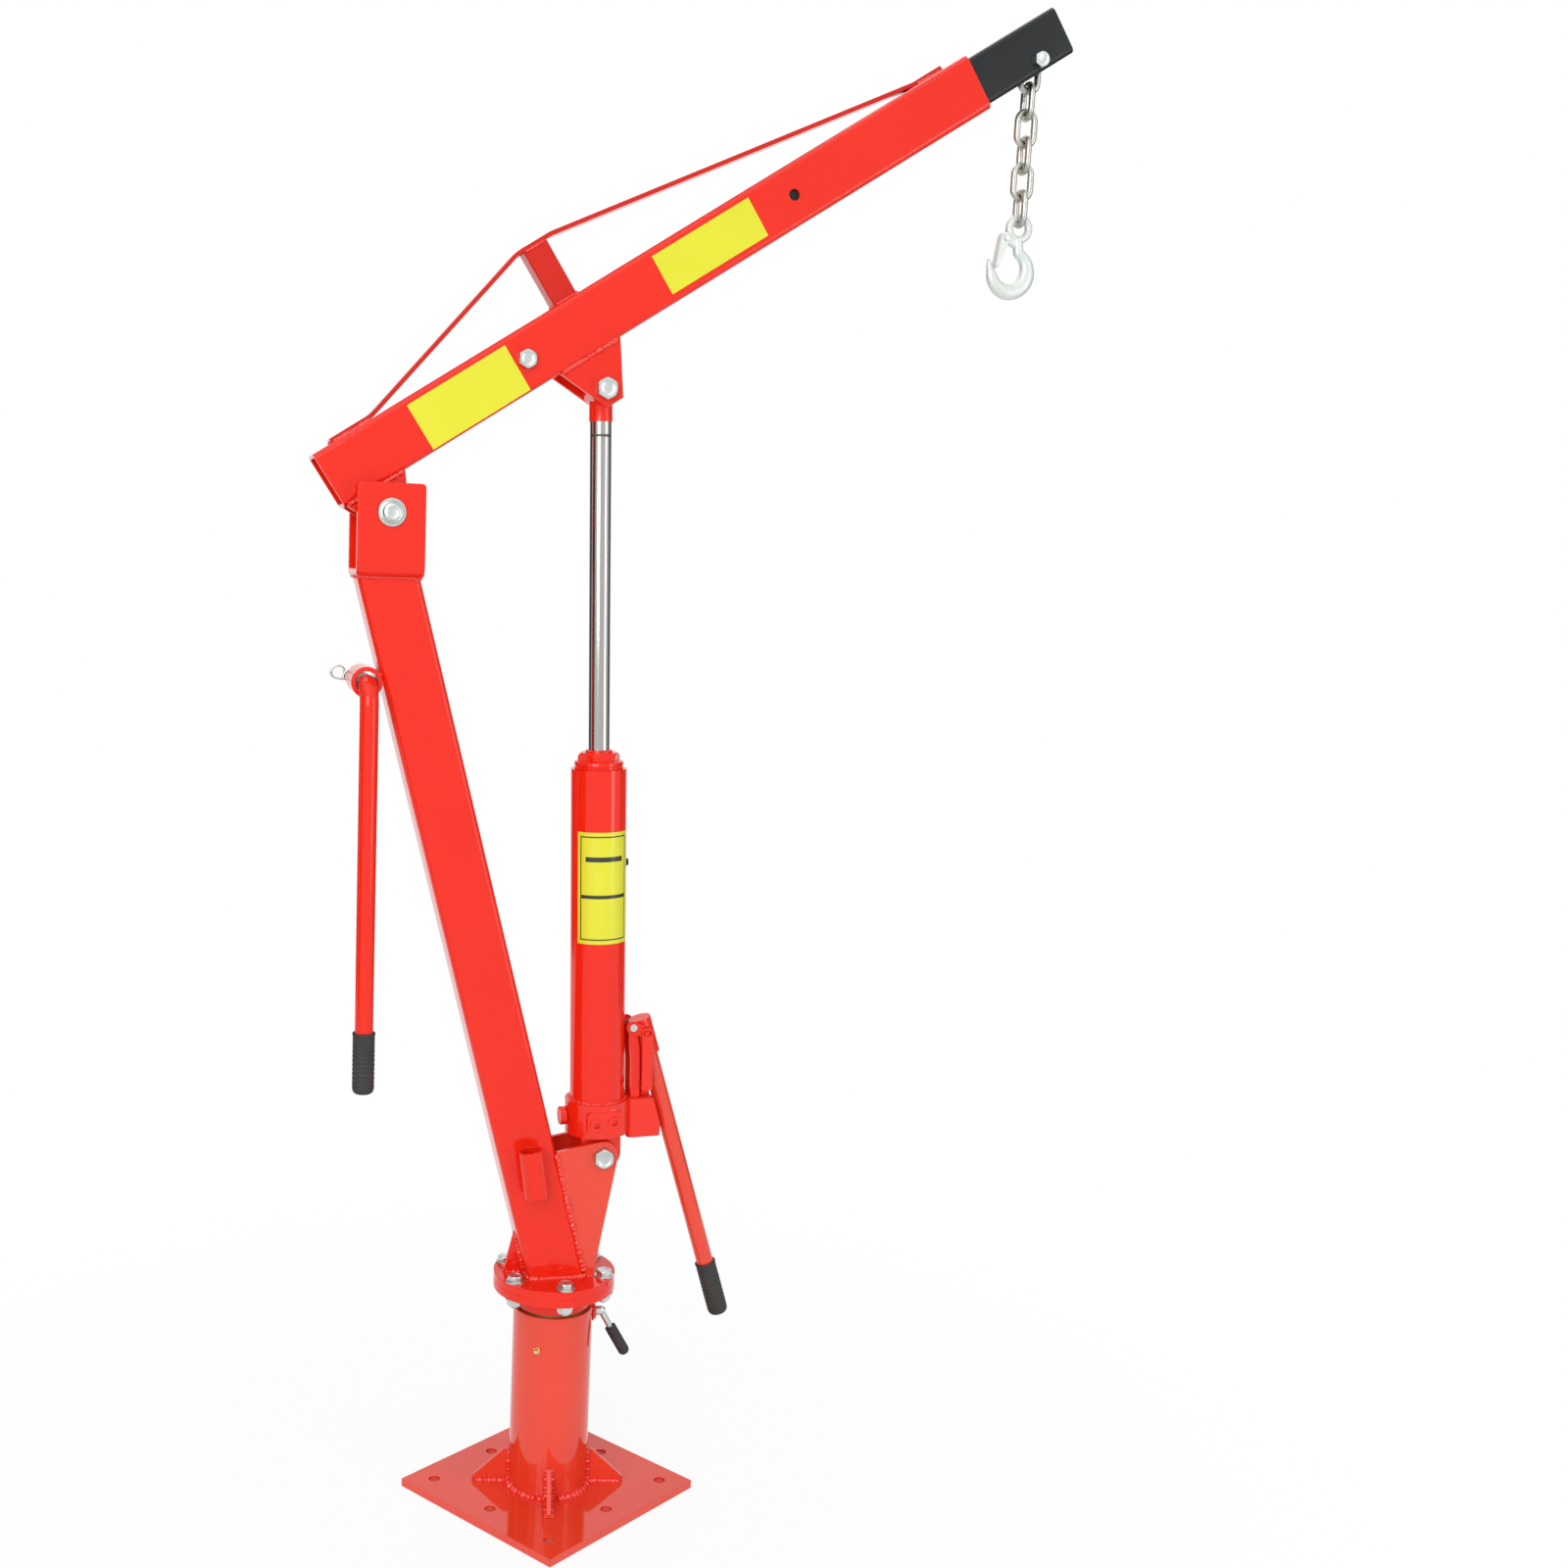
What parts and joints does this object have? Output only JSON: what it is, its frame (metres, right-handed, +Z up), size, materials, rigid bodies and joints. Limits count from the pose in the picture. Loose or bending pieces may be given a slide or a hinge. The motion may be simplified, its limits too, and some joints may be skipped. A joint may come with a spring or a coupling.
{
  "type": "swivel jib crane",
  "caption": "Floor-bolted swivel jib crane with leaning mast, hydraulic long-ram jack, trussed boom with sliding extension, chain and latched hook.",
  "frame": {"origin": "centre of the base plate's underside, on the swivel axis", "axes": "+Z up along the swivel axis, +X the way the boom points, +Y across"},
  "size_m": [0.8714, 0.354, 1.794],
  "materials": {
    "red_paint": "gloss",
    "red_casting": "satin",
    "black_paint": "satin",
    "zinc": "satin",
    "steel": "satin",
    "chrome": "polished",
    "bronze": "satin",
    "brass": "polished",
    "black_grip": "matte"
  },
  "bodies": {
    "base": {"base_plate": "red_paint", "base_gussets": "red_paint", "post_tube": "red_paint", "swivel_bushes": "bronze", "thrust_washer": "bronze", "grease_nipple": "brass", "lock_boss": "red_paint"},
    "lock_lever": {"lock_screw": "zinc", "lock_grip": "black_grip"},
    "mast": {"spindle": "red_paint", "lower_flange": "red_paint", "upper_flange": "red_paint", "flange_bolts": "zinc", "flange_nuts": "zinc", "mast_tube": "red_paint", "mast_gusset": "red_paint", "jack_cheeks": "red_paint", "jack_bolt": "zinc", "clevis": "red_paint", "boom_pin": "zinc", "boom_pin_collar": "zinc", "handle_socket": "red_paint", "handle_sleeve": "red_paint"},
    "boom": {"boom_tube": "red_paint", "boom_knuckle": "red_paint", "truss_strap": "red_paint", "truss_strut": "red_paint", "lift_lugs": "red_paint", "lift_bolt": "zinc", "stop_bolt": "zinc"},
    "extension": {"extension_tube": "black_paint", "chain_bolt": "zinc"},
    "chain_1": {"chain_link_1": "zinc"},
    "chain_2": {"chain_link_2": "zinc"},
    "chain_3": {"chain_link_3": "zinc"},
    "chain_4": {"chain_link_4": "zinc"},
    "chain_5": {"chain_link_5": "zinc"},
    "chain_6": {"chain_link_6": "zinc"},
    "hook": {"hook_body": "zinc", "latch_pin": "zinc"},
    "latch": {"hook_latch": "zinc"},
    "ram": {"ram_rod": "chrome", "ram_eye": "red_paint", "ram_piston": "steel"},
    "cylinder": {"cylinder_barrel": "red_paint", "gland_nut": "red_paint", "cylinder_base": "red_casting", "pump_barrel": "red_paint", "fulcrum_links": "red_paint", "fulcrum_pin": "zinc", "filler_plug": "black_grip"},
    "valve": {"release_valve": "zinc"},
    "plunger": {"pump_plunger": "steel", "plunger_yoke": "red_casting"},
    "pump_handle": {"handle_fork": "red_paint", "pump_bar": "red_paint", "pump_grip": "black_grip"},
    "swivel_handle": {"swivel_bar": "red_paint", "swivel_grip": "black_grip", "r_clip": "zinc"}
  },
  "joints": [
    {"name": "swivel", "type": "hinge", "parent": "base", "child": "mast", "pos_m": [0, 0, 0.241], "axis": [0, 0, 1], "continuous": true},
    {"name": "lock_turn", "type": "hinge", "parent": "base", "child": "lock_lever", "pos_m": [0.0585, 0, 0.228], "axis": [1, 0, 0], "range_deg": [-100, 100]},
    {"name": "boom_lift", "type": "hinge", "parent": "mast", "child": "boom", "pos_m": [-0.22048, 0, 1.185], "axis": [0, -1, 0], "range_deg": [-40, 0]},
    {"name": "ram_swing", "type": "hinge", "parent": "boom", "child": "ram", "pos_m": [0.01991, 0, 1.33272], "axis": [0, -1, 0], "range_deg": [-1, 38]},
    {"name": "cylinder_slide", "type": "slide", "parent": "ram", "child": "cylinder", "axis": [-0.0313, 0, 0.9995], "range_m": [-0.002, 0.193]},
    {"name": "extension_slide", "type": "slide", "parent": "boom", "child": "extension", "axis": [0.8339, 0, 0.5519], "range_m": [0, 0.362]},
    {"name": "chain_1_swing", "type": "hinge", "parent": "extension", "child": "chain_1", "pos_m": [0.52325, 0, 1.73363], "axis": [0, -1, 0], "range_deg": [-1, 41]},
    {"name": "chain_2_swing", "type": "hinge", "parent": "chain_1", "child": "chain_2", "pos_m": [0.52325, 0, 1.70468], "axis": [1, 0, 0], "range_deg": [-25, 25]},
    {"name": "chain_3_swing", "type": "hinge", "parent": "chain_2", "child": "chain_3", "pos_m": [0.52325, 0, 1.67448], "axis": [0, -1, 0], "range_deg": [-25, 25]},
    {"name": "chain_4_swing", "type": "hinge", "parent": "chain_3", "child": "chain_4", "pos_m": [0.52325, 0, 1.64428], "axis": [1, 0, 0], "range_deg": [-25, 25]},
    {"name": "chain_5_swing", "type": "hinge", "parent": "chain_4", "child": "chain_5", "pos_m": [0.52325, 0, 1.61408], "axis": [0, -1, 0], "range_deg": [-25, 25]},
    {"name": "chain_6_swing", "type": "hinge", "parent": "chain_5", "child": "chain_6", "pos_m": [0.52325, 0, 1.58388], "axis": [1, 0, 0], "range_deg": [-25, 25]},
    {"name": "hook_swing", "type": "hinge", "parent": "chain_6", "child": "hook", "pos_m": [0.52325, 0, 1.55368], "axis": [0, -1, 0], "range_deg": [-25, 25]},
    {"name": "latch_open", "type": "hinge", "parent": "hook", "child": "latch", "pos_m": [0.50625, 0, 1.53723], "axis": [0, -1, 0], "range_deg": [0, 32], "stiffness_Nm_per_rad": 0.02, "springref_deg": -22.92},
    {"name": "valve_turn", "type": "hinge", "parent": "cylinder", "child": "valve", "pos_m": [0.0076, 0, 0.47976], "axis": [0.9995, 0, 0.0313], "range_deg": [0, 180]},
    {"name": "pump_stroke", "type": "hinge", "parent": "cylinder", "child": "pump_handle", "pos_m": [0.08316, 0, 0.59068], "axis": [0, -1, 0], "range_deg": [0, 50]},
    {"name": "plunger_slide", "type": "slide", "parent": "cylinder", "child": "plunger", "axis": [-0.0313, 0, 0.9995], "range_m": [-0.0005, 0.0155]},
    {"name": "swivel_handle_swing", "type": "hinge", "parent": "mast", "child": "swivel_handle", "pos_m": [-0.24303, 0, 0.9963], "axis": [0, 1, 0], "range_deg": [-30, 30]}
  ],
  "couplings": [
    {"joint": "ram_swing", "follows": "boom_lift", "ratio": -0.9145},
    {"joint": "cylinder_slide", "follows": "boom_lift", "m_per_rad": -0.273},
    {"joint": "chain_1_swing", "follows": "boom_lift", "ratio": -1},
    {"joint": "plunger_slide", "follows": "pump_stroke", "m_per_rad": 0.01694}
  ]
}
